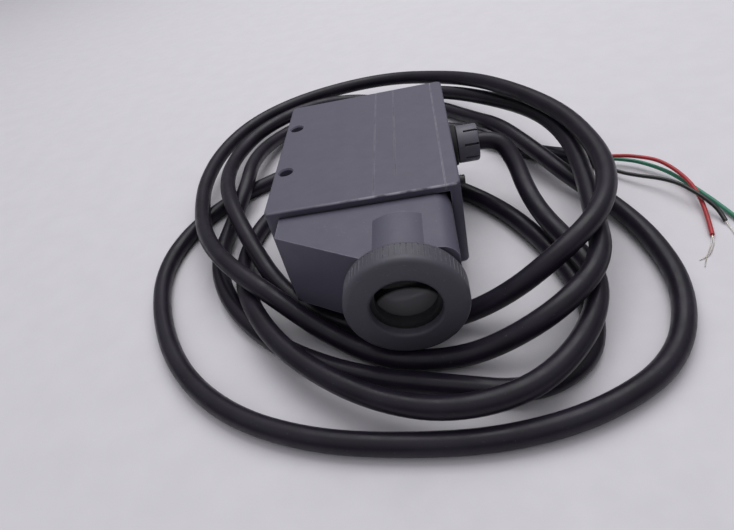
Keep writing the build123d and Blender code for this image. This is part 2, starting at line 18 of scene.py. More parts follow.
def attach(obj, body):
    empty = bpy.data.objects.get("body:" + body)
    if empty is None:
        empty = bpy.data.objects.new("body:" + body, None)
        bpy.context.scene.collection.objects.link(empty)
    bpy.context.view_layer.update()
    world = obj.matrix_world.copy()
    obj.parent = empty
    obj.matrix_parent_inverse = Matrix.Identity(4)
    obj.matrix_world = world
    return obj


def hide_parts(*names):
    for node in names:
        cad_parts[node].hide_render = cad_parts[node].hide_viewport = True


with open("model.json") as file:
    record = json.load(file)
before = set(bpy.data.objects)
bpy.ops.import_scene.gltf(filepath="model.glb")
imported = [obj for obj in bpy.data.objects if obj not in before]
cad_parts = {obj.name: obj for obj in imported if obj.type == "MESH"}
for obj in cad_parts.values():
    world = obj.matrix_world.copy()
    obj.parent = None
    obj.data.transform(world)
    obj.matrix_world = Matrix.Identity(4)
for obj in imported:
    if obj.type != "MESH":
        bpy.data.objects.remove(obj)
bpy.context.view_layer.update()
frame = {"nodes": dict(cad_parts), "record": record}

log = logging.getLogger("sensor")

MM = 0.001
FULL_TURN = 2 * math.pi
Colour = tuple[float, float, float]
Point = tuple[float, float, float]
Outline = list[tuple[float, float]]
Socket = bpy.types.NodeSocket
Tree = bpy.types.NodeTree

# places in the row frame, in millimetres
LENS_X = 34.3
GLAND_Y = 9.1
END_X = 52.3
HALF_THICK = 14.0
FLOOR_Z = -22.6
CABLE_RADIUS = 3.0
LOW = FLOOR_Z + CABLE_RADIUS


class Body(Enum):
    """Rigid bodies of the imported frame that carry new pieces."""

    HOUSING = "housing"
    FOCUS = "focus"
    LENS = "lens"


class Along(Enum):
    """Directions that turned pieces point in."""

    LENS = Vector((0.0, -1.0, 0.0))
    GLAND = Vector((1.0, 0.0, 0.0))


# ---- finishes ------------------------------------------------------------------------------


# features of each noise per metre
CLOUD_SCALE = 85.0
RUB_SCALE = 600.0
DUST_SCALE = 1500.0
SEAM_HIGHLIGHT_SCALE = 120.0
LIP_GLINT_SCALE = 260.0
GLOSS_SCALE = 220.0
BUMP_STRENGTH = 0.6
# share of the colour kept in the painted shade of seams and inner corners
PAINTED_RECESS_SHADE = 0.12

# colour of the painted highlight along the parting lines
SEAM_HIGHLIGHT: Colour = (0.24, 0.235, 0.28)
DUST: Colour = (0.5, 0.5, 0.52)
# colour of the painted shade round the lens glass
PAINTED_LENS_SHADE: Colour = (0.006, 0.006, 0.007)


def spread(tree: Tree, value: Socket, low: float, high: float, to_low: float, to_high: float) -> Socket:
    """Maps a value from one range to another, clamped.

    Args:
        tree: node tree that it is added to.
        value: the socket to map.
        low: value that becomes to_low.
        high: value that becomes to_high.
        to_low: first result.
        to_high: last result.

    Returns:
        The result socket.
    """
    node = tree.nodes.new("ShaderNodeMapRange")
    for name, number in zip(("From Min", "From Max", "To Min", "To Max"), (low, high, to_low, to_high)):
        node.inputs[name].default_value = number
    tree.links.new(value, node.inputs["Value"])
    return node.outputs["Result"]


def noise(tree: Tree, place: Socket, scale: float, detail: float) -> Socket:
    """Adds a noise texture.

    Args:
        tree: the material's node tree.
        place: coordinates that it reads.
        scale: features per metre.
        detail: octaves.

    Returns:
        Its value socket.
    """
    node = tree.nodes.new("ShaderNodeTexNoise")
    node.inputs["Scale"].default_value = scale
    node.inputs["Detail"].default_value = detail
    tree.links.new(place, node.inputs["Vector"])
    return node.outputs["Fac"]


def mix(tree: Tree, amount: Socket, first: Colour | Socket, second: Colour | Socket) -> Socket:
    """Mixes two colours by a factor.

    Args:
        tree: the material's node tree.
        amount: factor socket.
        first: colour, or colour socket, at factor 0.
        second: colour, or colour socket, at factor 1.

    Returns:
        The mixed colour socket.
    """
    node = tree.nodes.new("ShaderNodeMix")
    node.data_type = "RGBA"
    tree.links.new(amount, node.inputs[0])
    for socket, value in ((node.inputs[6], first), (node.inputs[7], second)):
        if isinstance(value, tuple):
            socket.default_value = (*value, 1.0)
        else:
            tree.links.new(value, socket)
    return node.outputs[2]


def product(tree: Tree, factors: Sequence[Socket]) -> Socket:
    """Multiplies factors together.

    Args:
        tree: the material's node tree.
        factors: value sockets.

    Returns:
        The product's socket.
    """
    result = factors[0]
    for factor in factors[1:]:
        node = tree.nodes.new("ShaderNodeMath")
        node.operation = "MULTIPLY"
        tree.links.new(result, node.inputs[0])
        tree.links.new(factor, node.inputs[1])
        result = node.outputs["Value"]
    return result


def distance_from(tree: Tree, value: Socket, centre: float) -> Socket:
    """Measures how far a value is from a number.

    Args:
        tree: the material's node tree.
        value: the socket to measure.
        centre: the number.

    Returns:
        Socket of the distance, never negative.
    """
    away = tree.nodes.new("ShaderNodeMath")
    away.operation = "SUBTRACT"
    away.inputs[1].default_value = centre
    tree.links.new(value, away.inputs[0])
    size = tree.nodes.new("ShaderNodeMath")
    size.operation = "ABSOLUTE"
    tree.links.new(away.outputs["Value"], size.inputs[0])
    return size.outputs["Value"]


def split_xyz(tree: Tree, place: Socket) -> bpy.types.NodeOutputs:
    """Splits coordinates into their three parts.

    Args:
        tree: node tree that it is added to.
        place: the coordinates.

    Returns:
        Sockets named X, Y and Z.
    """
    node = tree.nodes.new("ShaderNodeSeparateXYZ")
    tree.links.new(place, node.inputs["Vector"])
    return node.outputs


@dataclass(frozen=True)
class Finish:
    """Procedural surface with cloudy colour, uneven gloss, a fine grain and paler or darker edges, with
    optional painted shade in seams and painted highlights on edges and lines.
    """

    name: str
    colour: Colour
    variation: float = 0.12
    gloss: tuple[float, float] = (0.42, 0.6)
    grain: float = 0.35
    grain_depth: float = 0.02
    # colour of the pale edges, partly wear and partly painted highlight, and of the painted lip glint
    edge: Colour = (0.3, 0.3, 0.34)
    edge_strength: float = 0.35
    edge_width: float = 0.35
    dust: float = 0.0
    metallic: float = 0.0
    see_through: float = 0.0
    ior: float = 1.5
    seam_highlights: tuple[tuple[float, float], ...] = ()
    glint_lip_y: float | None = None
    painted_shade_reach: float = 0.0
    unshaded_centre: Point | None = None
    unshaded_radius: float = 9.2

    def build(self) -> bpy.types.Material:
        """Makes the material.

        Returns:
            The node material, on Object coordinates throughout.
        """
        material = bpy.data.materials.new(self.name)
        material.use_nodes = True
        tree = material.node_tree
        shader = tree.nodes["Principled BSDF"]
        place = tree.nodes.new("ShaderNodeTexCoord").outputs["Object"]
        colour = self._clouds(tree, place)
        # pale edges: partly wear, partly painted highlight on edges and hole rims
        if self.edge_strength > 0:
            colour = self._worn_and_highlit_edges(tree, place, colour)
        if self.dust > 0:
            colour = self._dust(tree, place, colour)
        # painted highlight along the parting lines of the broad faces
        for line_x, front_y in self.seam_highlights:
            colour = self._painted_seam_highlight(tree, place, colour, line_x, front_y)
        # painted highlight: a glint along the front edge of the broad faces
        if self.glint_lip_y is not None:
            colour = self._painted_lip_glint(tree, place, colour)
        # painted shade: seams and tight inner corners darkened by ambient occlusion
        if self.painted_shade_reach > 0:
            colour = self._painted_recess_shade(tree, colour)
        # painted shade: a dark rim round the lens glass, with less specular there, standing in for the
        # shade under the ring's lip
        if self.unshaded_centre is not None:
            patch = self._unshaded_patch(tree, place)
            colour = mix(tree, patch, PAINTED_LENS_SHADE, colour)
            tree.links.new(spread(tree, patch, 0.0, 1.0, 0.02, 0.5), shader.inputs["Specular IOR Level"])
        tree.links.new(colour, shader.inputs["Base Color"])
        tree.links.new(self._gloss(tree, place), shader.inputs["Roughness"])
        tree.links.new(self._grain(tree, place), shader.inputs["Normal"])
        shader.inputs["Metallic"].default_value = self.metallic
        shader.inputs["IOR"].default_value = self.ior
        shader.inputs["Transmission Weight"].default_value = self.see_through
        return material

    def _clouds(self, tree: Tree, place: Socket) -> Socket:
        """Adds soft darker and paler patches of the base colour, a centimetre or two across.

        Args:
            tree: the material's node tree.
            place: Object coordinates.

        Returns:
            The colour socket.
        """
        dark = tuple(c * (1 - self.variation) for c in self.colour)
        pale = tuple(min(c * (1 + self.variation), 1.0) for c in self.colour)
        cloud = spread(tree, noise(tree, place, CLOUD_SCALE, 4.0), 0.35, 0.65, 0.0, 1.0)
        return mix(tree, cloud, dark, pale)

    def _worn_and_highlit_edges(self, tree: Tree, place: Socket, colour: Socket) -> Socket:
        """Pales the colour along sharp edges, broken up by a fine noise: partly edge wear, partly
        painted highlight where edges and hole rims catch the light.

        Args:
            tree: the material's node tree.
            place: Object coordinates.
            colour: colour socket underneath.

        Returns:
            The colour socket with it added.
        """
        bevel = tree.nodes.new("ShaderNodeBevel")
        bevel.samples = 4
        bevel.inputs["Radius"].default_value = self.edge_width * MM
        flat = tree.nodes.new("ShaderNodeNewGeometry")
        agree = tree.nodes.new("ShaderNodeVectorMath")
        agree.operation = "DOT_PRODUCT"
        tree.links.new(bevel.outputs["Normal"], agree.inputs[0])
        tree.links.new(flat.outputs["Normal"], agree.inputs[1])
        edge = spread(tree, agree.outputs["Value"], 0.995, 0.8, 0.0, self.edge_strength)
        rub = spread(tree, noise(tree, place, RUB_SCALE, 3.0), 0.4, 0.6, 0.35, 1.0)
        return mix(tree, product(tree, (edge, rub)), colour, self.edge)

    def _dust(self, tree: Tree, place: Socket, colour: Socket) -> Socket:
        """Scatters sparse pale specks and lint.

        Args:
            tree: the material's node tree.
            place: Object coordinates.
            colour: colour socket underneath.

        Returns:
            The colour socket with it added.
        """
        amount = spread(tree, noise(tree, place, DUST_SCALE, 2.0), 0.69, 0.76, 0.0, self.dust)
        return mix(tree, amount, colour, DUST)

    def _painted_recess_shade(self, tree: Tree, colour: Socket) -> Socket:
        """Paints shade into seams and tight inner corners, darkening them by ambient occlusion.

        Args:
            tree: the material's node tree.
            colour: colour socket underneath.

        Returns:
            The colour socket with it added.
        """
        closed = tree.nodes.new("ShaderNodeAmbientOcclusion")
        closed.samples = 6
        closed.inputs["Distance"].default_value = self.painted_shade_reach * MM
        shade = tuple(c * PAINTED_RECESS_SHADE for c in self.colour)
        return mix(tree, spread(tree, closed.outputs["AO"], 0.5, 0.88, 0.0, 1.0), shade, colour)

    def _unshaded_patch(self, tree: Tree, place: Socket) -> Socket:
        """Finds the part of the glass left clear of the painted shade; round it a dark rim is painted,
        standing in for the shade under the ring's lip.

        Args:
            tree: the material's node tree.
            place: Object coordinates.

        Returns:
            Socket that is 1 in the unshaded part and 0 in the painted shade round it.
        """
        away = tree.nodes.new("ShaderNodeVectorMath")
        away.operation = "DISTANCE"
        tree.links.new(place, away.inputs[0])
        away.inputs[1].default_value = tuple(c * MM for c in self.unshaded_centre)
        low = (self.unshaded_radius - 0.3) * MM
        high = (self.unshaded_radius + 0.5) * MM
        return spread(tree, away.outputs["Value"], low, high, 1.0, 0.0)

    def _painted_seam_highlight(
        self, tree: Tree, place: Socket, colour: Socket, line_x: float, front_y: float
    ) -> Socket:
        """Paints a highlight along one parting line of the broad faces, standing in for light caught by
        its ridge.

        Args:
            tree: the material's node tree.
            place: Object coordinates.
            colour: colour socket underneath.
            line_x: where the line runs, in millimetres.
            front_y: where its front end is, in millimetres.

        Returns:
            The colour socket with it added.
        """
        axes = split_xyz(tree, place)
        near = distance_from(tree, axes["X"], line_x * MM)
        high = distance_from(tree, axes["Z"], 0.0)
        masks = (
            spread(tree, near, 0.08 * MM, 0.32 * MM, 0.55, 0.0),
            spread(tree, axes["Y"], (front_y - 0.4) * MM, (front_y + 0.4) * MM, 0.0, 1.0),
            spread(tree, high, (HALF_THICK - 0.4) * MM, (HALF_THICK - 0.2) * MM, 0.0, 1.0),
            spread(tree, noise(tree, place, SEAM_HIGHLIGHT_SCALE, 3.0), 0.4, 0.6, 0.2, 1.0),
        )
        return mix(tree, product(tree, masks), colour, SEAM_HIGHLIGHT)

    def _painted_lip_glint(self, tree: Tree, place: Socket, colour: Socket) -> Socket:
        """Paints a glint along the front edge of the broad faces, most of all on the right, standing in
        for the key light caught by the rounded edge.

        Args:
            tree: the material's node tree.
            place: Object coordinates.
            colour: colour socket underneath.

        Returns:
            The colour socket with it added.
        """
        axes = split_xyz(tree, place)
        high = distance_from(tree, axes["Z"], 0.0)
        lip = self.glint_lip_y * MM
        masks = (
            spread(tree, axes["Y"], lip + 0.5 * MM, lip + 0.2 * MM, 0.0, 1.0),
            spread(tree, axes["Y"], lip - 0.6 * MM, lip - 0.4 * MM, 0.0, 1.0),
            spread(tree, high, (HALF_THICK - 0.7) * MM, (HALF_THICK - 0.4) * MM, 0.0, 1.0),
            spread(tree, axes["X"], 8.0 * MM, 30.0 * MM, 0.25, 0.9),
            spread(tree, noise(tree, place, LIP_GLINT_SCALE, 4.0), 0.35, 0.55, 0.15, 1.0),
        )
        return mix(tree, product(tree, masks), colour, self.edge)

    def _gloss(self, tree: Tree, place: Socket) -> Socket:
        """Makes a roughness that wanders between the two ends of the gloss range.

        Args:
            tree: the material's node tree.
            place: Object coordinates.

        Returns:
            The roughness socket.
        """
        return spread(tree, noise(tree, place, GLOSS_SCALE, 5.0), 0.35, 0.65, *self.gloss)

    def _grain(self, tree: Tree, place: Socket) -> Socket:
        """Makes a fine moulded, drawn or brushed relief.

        Args:
            tree: the material's node tree.
            place: Object coordinates.

        Returns:
            The normal socket.
        """
        relief = noise(tree, place, 1000.0 / self.grain, 3.0)
        bump = tree.nodes.new("ShaderNodeBump")
        bump.inputs["Strength"].default_value = BUMP_STRENGTH
        bump.inputs["Distance"].default_value = self.grain_depth * MM
        tree.links.new(relief, bump.inputs["Height"])
        return bump.outputs["Normal"]


FINISHES: dict[str, Finish] = {
    "housing_grey": Finish("housing grey moulding", (0.077, 0.073, 0.108), 0.03, (0.5, 0.58), dust=0.1,
                           edge=(0.45, 0.44, 0.5), edge_strength=0.3, edge_width=0.7, painted_shade_reach=1.2,
                           glint_lip_y=-37.4,
                           seam_highlights=((28.3, -37.4), (34.7, -27.9), (48.27, -37.4))),
    "ring_grey": Finish("ring grey moulding", (0.063, 0.0615, 0.08), 0.05, (0.48, 0.58), dust=0.1,
                        edge_strength=0.6, painted_shade_reach=0.7),
    "gland_grey": Finish("gland grey moulding", (0.11, 0.105, 0.132), 0.08, (0.42, 0.58), dust=0.12,
                         edge_strength=0.8, painted_shade_reach=0.8),
    "panel_black": Finish("panel black film", (0.018, 0.018, 0.022), 0.2, (0.3, 0.45), 0.5, 0.01),
    "black_plastic": Finish("black moulding", (0.028, 0.027, 0.03), 0.2, (0.4, 0.6),
                            edge=(0.06, 0.06, 0.065)),
    "black_rubber": Finish("black rubber", (0.014, 0.014, 0.016), 0.2, (0.55, 0.75),
                           edge=(0.05, 0.05, 0.055)),
    "cable_black": Finish("black jacket", (0.0125, 0.0098, 0.0175), 0.25, (0.3, 0.44), 0.6, 0.02,
                          edge_strength=0.0, dust=0.05, ior=1.33),
    "steel": Finish("zinc plated steel", (0.55, 0.55, 0.57), 0.1, (0.25, 0.4), 0.2, 0.01,
                    edge=(0.8, 0.8, 0.8), metallic=1.0),
    "lens_glass": Finish("lens glass", (0.19, 0.185, 0.2), 0.02, (0.06, 0.12), 2.0, 0.001,
                         edge_strength=0.0, see_through=0.25, ior=1.52, unshaded_centre=(34.3, -63, -7)),
    "clear_plastic": Finish("clear moulding", (0.8, 0.82, 0.8), 0.02, (0.08, 0.15), 1.0, 0.004,
                            edge_strength=0.0, see_through=0.8),
    "green_clear": Finish("green tinted moulding", (0.06, 0.42, 0.14), 0.08, (0.12, 0.2), 0.8, 0.004,
                          edge_strength=0.0, see_through=0.5),
    "red_clear": Finish("red tinted moulding", (0.5, 0.03, 0.03), 0.08, (0.12, 0.2), 0.8, 0.004,
                        edge_strength=0.0, see_through=0.5),
    "board_green": Finish("solder mask", (0.01, 0.12, 0.04), 0.15, (0.25, 0.4), 0.8, 0.01),
    "blue_plastic": Finish("blue moulding", (0.03, 0.1, 0.35), 0.1, (0.35, 0.5)),
    "terminal_green": Finish("green moulding", (0.02, 0.25, 0.08), 0.1, (0.35, 0.5)),
    "capacitor_can": Finish("capacitor sleeve", (0.5, 0.5, 0.53), 0.08, (0.3, 0.4), metallic=0.8),
    "lead_insulation": Finish("inner lead insulation", (0.1, 0.1, 0.11), 0.2, (0.4, 0.5),
                              edge_strength=0.0),
    "wire_red": Finish("red insulation", (0.38, 0.018, 0.022), 0.12, (0.35, 0.5), 0.5, 0.01,
                       edge_strength=0.0),
    "wire_green": Finish("green insulation", (0.025, 0.2, 0.12), 0.12, (0.35, 0.5), 0.5, 0.01,
                         edge_strength=0.0),
    "wire_black": Finish("black insulation", (0.012, 0.012, 0.013), 0.2, (0.3, 0.45), 0.5, 0.01,
                         edge_strength=0.0),
    "tinned_copper": Finish("tinned strands", (0.6, 0.56, 0.5), 0.15, (0.22, 0.4), 0.2, 0.01,
                            edge_strength=0.0, metallic=1.0),
}
MADE: dict[str, bpy.types.Material] = {}
MERGE_DISTANCE = 1e-6


def dress(obj: bpy.types.Object, slot: str) -> None:
    """Gives a piece the finish of one of the record's slots.

    Args:
        obj: the piece.
        slot: name of the slot.
    """
    if slot not in MADE:
        MADE[slot] = FINISHES[slot].build()
    obj.data.materials.clear()
    obj.data.materials.append(MADE[slot])


# ---- modelling helpers ---------------------------------------------------------------------


def deselect() -> None:
    """Leaves edit mode and deselects every object."""
    if bpy.context.mode != "OBJECT":
        bpy.ops.object.mode_set(mode="OBJECT")
    bpy.ops.object.select_all(action="DESELECT")


def activate(obj: bpy.types.Object) -> None:
    """Selects one object alone and makes it active.

    Args:
        obj: the object.
    """
    deselect()
    obj.select_set(True)
    bpy.context.view_layer.objects.active = obj


def settle(obj: bpy.types.Object, name: str, smooth_angle: float = 35.0) -> bpy.types.Object:
    """Names a mesh, closes it, points its faces outwards and leaves its object at the origin.

    Args:
        obj: the mesh object.
        name: its name.
        smooth_angle: degrees up to which neighbouring faces shade smoothly.

    Returns:
        The same object.
    """
    activate(obj)
    bpy.ops.object.mode_set(mode="EDIT")
    bpy.ops.mesh.select_all(action="SELECT")
    bpy.ops.mesh.remove_doubles(threshold=MERGE_DISTANCE)
    bpy.ops.mesh.normals_make_consistent(inside=False)
    bpy.ops.object.mode_set(mode="OBJECT")
    bpy.ops.object.transform_apply(location=True, rotation=True, scale=True)
    bpy.ops.object.shade_smooth_by_angle(angle=math.radians(smooth_angle))
    obj.name = name
    obj.data.name = name
    return obj


def turned(name: str, outline: Outline, start: Point, along: Along, steps: int) -> bpy.types.Object:
    """Spins an outline into a closed round piece.

    Args:
        name: its name.
        outline: (distance along the axis, radius) of each corner in millimetres, in order.
            An outline that starts and ends on the axis is open, any other closes on itself.
        start: point on the axis that distances start from, in millimetres.
        along: direction of the axis.
        steps: sides of the round.

    Returns:
        The new mesh object.
    """
    axis = along.value
    outwards = Vector((0.0, 0.0, 1.0))
    origin = Vector(start)
    corners = [(origin + axis * a + outwards * r) * MM for a, r in outline]
    deselect()
    bpy.ops.mesh.primitive_plane_add(size=0.001, location=corners[0])
    obj = bpy.context.object
    bpy.ops.object.transform_apply(location=True, rotation=True, scale=True)
    bpy.ops.object.mode_set(mode="EDIT")
    bpy.ops.mesh.select_mode(type="VERT")
    bpy.ops.mesh.select_all(action="SELECT")
    bpy.ops.mesh.merge(type="CENTER")
    closed = outline[0][1] > 0 or outline[-1][1] > 0
    for before, after in zip(corners, corners[1:] + corners[:1] if closed else corners[1:]):
        bpy.ops.mesh.extrude_vertices_move(TRANSFORM_OT_translate={"value": after - before})
    bpy.ops.mesh.select_all(action="SELECT")
    bpy.ops.mesh.remove_doubles(threshold=MERGE_DISTANCE)
    bpy.ops.mesh.select_all(action="SELECT")
    bpy.ops.mesh.spin(steps=steps, angle=FULL_TURN, center=origin * MM, axis=axis)
    return settle(obj, name)


def pick_faces(obj: bpy.types.Object, wanted: Callable[[Vector, Vector], bool]) -> None:
    """Selects the faces of the active mesh that a test accepts, and opens edit mode on them.

    Args:
        obj: the mesh object.
        wanted: test of a face, given its centre in millimetres and its normal.
    """
    activate(obj)
    bpy.ops.object.mode_set(mode="EDIT")
    bpy.ops.mesh.select_mode(type="FACE")
    bpy.ops.mesh.select_all(action="DESELECT")
    bpy.ops.object.mode_set(mode="OBJECT")
    for face in obj.data.polygons:
        face.select = bool(wanted(face.center / MM, face.normal))
    bpy.ops.object.mode_set(mode="EDIT")


def routed(name: str, points: list[Point], radius: float) -> bpy.types.Object:
    """Lays a smooth round cord along a route.

    Args:
        name: its name.
        points: control points of the route in millimetres.
        radius: half its thickness in millimetres.

    Returns:
        The curve object, with one open NURBS spline.
    """
    data = bpy.data.curves.new(name, "CURVE")
    data.dimensions = "3D"
    spline = data.splines.new("NURBS")
    spline.points.add(len(points) - 1)
    for point, place in zip(spline.points, points):
        point.co = (*(c * MM for c in place), 1.0)
    spline.order_u = 3
    spline.use_endpoint_u = True
    spline.resolution_u = 8
    data.bevel_depth = radius * MM
    data.bevel_resolution = 6
    data.use_fill_caps = True
    obj = bpy.data.objects.new(name, data)
    bpy.context.scene.collection.objects.link(obj)
    return obj


# ---- studio --------------------------------------------------------------------------------


@dataclass
class Studio:
    """Camera, pale floor and soft light; the eye is in millimetres, the rest in degrees and metres."""

    eye: Point = (46.7, -168.2, 96.4)
    pitch: float = 38.53
    yaw: float = -10.86
    roll: float = -15.17
    lens: float = 27.53
    sensor: float = 36.0
    floor_gap: float = 0.02
    floor_size: float = 40.0
    key_place: Point = (0.12, 0.42, 0.85)
    key_size: float = 0.8
    key_power: float = 5.2
    sky: Colour = (0.97, 0.96, 1.0)
    glow_from: tuple[float, float] = (0.25, 0.95)
    ceiling: float = 0.9
    horizon: float = 0.125
    backdrop: float = 0.42

    def camera(self) -> None:
        """Places the camera: turned about the vertical, tilted down, then rolled about its own axis."""
        data = bpy.data.cameras.new("camera")
        data.lens = self.lens
        data.sensor_width = self.sensor
        data.clip_start = 0.01
        camera = bpy.data.objects.new("camera", data)
        bpy.context.scene.collection.objects.link(camera)
        turn = Matrix.Rotation(math.radians(-self.yaw), 4, "Z")
        tilt = Matrix.Rotation(math.radians(90 - self.pitch), 4, "X")
        roll = Matrix.Rotation(math.radians(self.roll), 4, "Z")
        camera.matrix_world = Matrix.Translation(Vector(self.eye) * MM) @ turn @ tilt @ roll
        bpy.context.scene.camera = camera

    def floor(self) -> None:
        """Lays a pale matt floor just under the cable."""
        deselect()
        height = (FLOOR_Z - self.floor_gap) * MM
        bpy.ops.mesh.primitive_plane_add(size=self.floor_size, location=(0, 0, height))
        floor = bpy.context.object
        floor.name = "floor"
        finish = Finish("pale card", (0.63, 0.615, 0.65), 0.015, (0.6, 0.75), 0.5, 0.01,
                        edge_strength=0.0)
        floor.data.materials.append(finish.build())

    def key_light(self) -> None:
        """Hangs one large soft light behind and above."""
        data = bpy.data.lights.new("key", "AREA")
        data.size = self.key_size
        data.energy = self.key_power
        light = bpy.data.objects.new("key", data)
        light.location = self.key_place
        light.rotation_mode = "QUATERNION"
        light.rotation_quaternion = (-Vector(self.key_place)).to_track_quat("-Z", "Y")
        bpy.context.scene.collection.objects.link(light)

    def surround(self) -> None:
        """Lights the scene from a pale ceiling that dims towards the horizon, with a pale backdrop."""
        world = bpy.data.worlds.new("surround")
        world.use_nodes = True
        tree = world.node_tree
        background = tree.nodes["Background"]
        upwards = split_xyz(tree, tree.nodes.new("ShaderNodeTexCoord").outputs["Generated"])["Z"]
        glow = spread(tree, upwards, *self.glow_from, self.horizon, self.ceiling)
        seen = tree.nodes.new("ShaderNodeMix")
        tree.links.new(tree.nodes.new("ShaderNodeLightPath").outputs["Is Camera Ray"], seen.inputs[0])
        tree.links.new(glow, seen.inputs[2])
        seen.inputs[3].default_value = self.backdrop
        tree.links.new(seen.outputs[0], background.inputs["Strength"])
        background.inputs["Color"].default_value = (*self.sky, 1.0)
        bpy.context.scene.world = world
        bpy.context.scene.view_settings.view_transform = "Standard"

    def build(self) -> None:
        """Sets up the camera, the floor and the lights."""
        self.camera()
        self.floor()
        self.key_light()
        self.surround()


# ---- cable and wires ---------------------------------------------------------------------------


CABLE_ROUTE: list[Point] = [
    # out of the gland, down and over the return strand
    (END_X + 9.5, GLAND_Y, 0), (68.7, GLAND_Y, 0), (73, 2.2, -6), (74.4, -8, -11), (77, -21, -13.2),
    (81.4, -36, -13.2),
    # right side, on top of the lower strand
    (85.5, -52, -13.2), (79, -70, -13.2), (63.5, -86, -13.2), (43, -90.5, -13.2),
    (24, -85, -13.2), (6, -72.5, -13.2),
    # front left, down to the surface
    (-7, -58.5, -13.2), (-17, -41.5, -14), (-24, -23, -18.5), (-26, -4, LOW),
    # under the housing
    (-20, 16, LOW), (-5, 31, LOW), (17, 35, LOW), (38, 27, LOW), (54, 11.5, LOW),
    # lower right strand and back to the left
    (66.5, -5, LOW), (75, -23, LOW), (80.5, -42, LOW), (82.5, -61, LOW), (76.5, -76, LOW),
    (61, -83, LOW),
    (42, -78, LOW), (20, -72.5, LOW), (0, -62, LOW), (-16, -48.5, LOW), (-29, -31, LOW),
    (-37, -10, LOW),
    # up over the crossing strand and down again
    (-36, 12, LOW), (-31.5, 31, -13.4), (-32.5, 51, -13.2), (-28, 76, -17), (-13, 95, LOW),
    (9, 104, LOW),
    # far side, then the second strand on the right
    (33, 101.5, -16.8), (56, 86, -13.2), (77, 61, -10.8), (88.5, 37, -7.6), (93.5, 13, -6.8),
    (92, -12, -6.8),
    (89, -34, -6.8), (86, -53, -6.6), (72, -67, -8.5), (53, -70, -17.5), (38, -69.5, LOW),
    # under the focus ring and up the outer left
    (24, -66, LOW), (9, -57, -17), (-8, -44.5, -10), (-25, -29, -7.6), (-38, -9, -10),
    (-46.5, 13, -12.6),
    (-52, 38, -13.2), (-50.5, 66, -13.2), (-40, 91, -13.2), (-20, 107.5, -13.2), (6, 115, -13.2),
    (31, 114, -13),
    # top strand on the right, above the others
    (52, 99, -10.6), (68.5, 75, -5.4), (81.5, 47.5, -1.6), (92.5, 22, -0.6), (96.5, -2, -0.2),
    (96, -22, -0.2),
    (89, -40, -0.2), (76, -51.5, -3), (60, -55.5, -13), (43, -55.5, LOW),
    # under the nose and up the inner left
    (22, -56, LOW), (3, -45, LOW), (-10, -31.5, -17.5), (-21, -13, -13.4), (-31.5, 8, -9),
    (-40, 32, -10.6),
    (-42, 58, -13.2), (-34, 81, -13.2), (-15, 97, -13.2), (8, 99, -13.4), (31, 94.5, -18),
    (51.5, 85, LOW),
    # over the free end's strand, then the wide outer loop on the surface
    (65, 65, -18.5), (73.5, 44, -13.2), (82, 22, -13.2), (92, 3, -17.2), (101.5, -12, LOW),
    (107, -33, LOW),
    (107, -56, LOW), (97, -78, LOW), (77, -90, LOW), (54, -95, LOW), (30, -94, LOW),
    (6, -90, LOW), (-17, -80, LOW),
    (-36, -63, LOW), (-50, -39, LOW), (-58, -12, LOW), (-54, 12, LOW), (-41, 31, LOW),
    (-22, 43, LOW),
    # under the housing once more to the stripped end
    (0, 54.5, LOW), (22, 63, LOW), (42, 67, LOW), (59, 58, LOW), (71, 42, LOW), (84, 29, LOW),
    (95, 22, LOW), (104, 16, LOW),
]
WIRE_ROUTES: dict[str, list[Point]] = {
    "red": [
        (104, 16, -18.3), (112, 13.1, -17.7), (116.5, 9.9, -17.3), (121.2, 6.7, -17.5),
        (124.1, 2.7, -18.2), (126.2, -2.2, -19), (127.2, -8.9, -19.4), (127, -16.2, -20.2),
        (125.7, -24.3, -21.1), (123.8, -32.1, -21.6),
    ],
    "green": [
        (104.62, 16.94, -20.25), (109.5, 16.2, -20.3), (113.8, 13.8, -20.3), (117.2, 11.2, -20.2),
        (121.1, 6.7, -20.3), (124.6, 1.9, -20.7), (127.2, -4.3, -21.1), (129.5, -11.6, -21.2),
        (131.1, -17.2, -21.3), (133, -24.4, -21.6), (134.1, -31, -21.6),
    ],
    "black": [
        (103.38, 15.06, -20.25), (108.4, 7.4, -20.3), (113.9, 1.6, -19.6), (119.1, -3.3, -18.6),
        (122.8, -8.8, -17.9), (124.5, -13.1, -17.7), (126.5, -16.7, -18.3), (128.8, -20.9, -19.6),
        (129.7, -23.6, -20.8), (129.9, -26.5, -21.6),
    ],
}
BARE_STRANDS: dict[str, list[list[Point]]] = {
    "red": [
        [(122.7, -34.6, -22.2), (121.7, -36.3, -22.4), (120, -38.9, -22.4), (118.4, -41.3, -22.4),
         (116.8, -44.5, -22.4)],
        [(123.4, -34.3, -22.2), (122.9, -35.6, -22.4), (120.8, -38.9, -22.2), (119.2, -40.6, -22.2),
         (116.6, -41.5, -22.4)],
    ],
    "green": [
        [(134.4, -33, -22.1), (134.7, -35.4, -22.4), (134.2, -38.2, -22.4)],
    ],
    "black": [
        [(130, -28, -22.1), (130.2, -30.8, -22.4), (129.7, -33.9, -22.4)],
    ],
}


